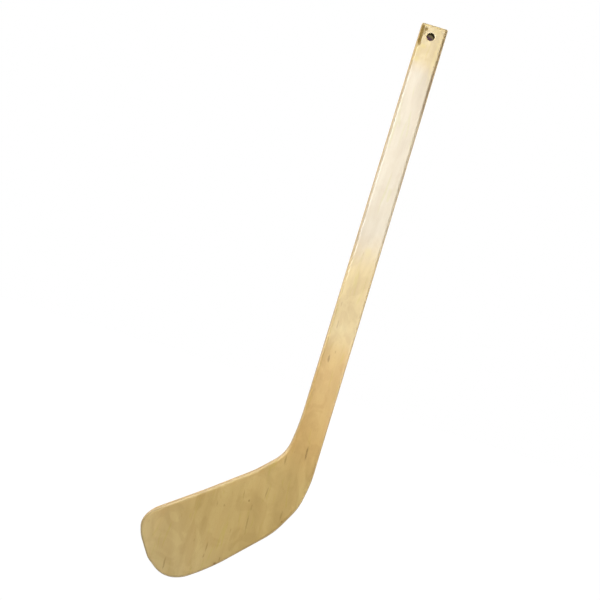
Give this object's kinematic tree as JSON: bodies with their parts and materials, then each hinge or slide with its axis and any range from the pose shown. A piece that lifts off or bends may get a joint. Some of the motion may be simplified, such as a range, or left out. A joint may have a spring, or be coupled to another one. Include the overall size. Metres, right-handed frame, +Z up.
{
  "type": "ice hockey stick",
  "caption": "Small ice hockey stick cut from birch plywood: flat straight shaft, rounded blade, eased edges and a hanging hole near the butt.",
  "frame": {"origin": "centre of the hanging hole, halfway through the board", "axes": "+Z up the shaft to the butt, -X the side the blade reaches to, -Y out of the front face, +Y out of the back face towards the wall it hangs on"},
  "size_m": [0.1527, 0.012, 0.6089],
  "materials": {
    "face_veneer": "clear-lacquered rotary-cut birch veneer, satin, grain along the shaft, with small brown flecks",
    "cross_ply": "birch veneer laid across the shaft, seen at the edges as darker lines",
    "long_ply": "birch veneer laid along the shaft, seen at the edges as paler lines"
  },
  "bodies": {
    "root": {"front_face_veneer": "face_veneer", "front_crossband": "cross_ply", "front_long_ply": "long_ply", "front_inner_crossband": "cross_ply", "core_ply": "long_ply", "back_inner_crossband": "cross_ply", "back_long_ply": "long_ply", "back_crossband": "cross_ply", "back_face_veneer": "face_veneer"}
  },
  "joints": []
}
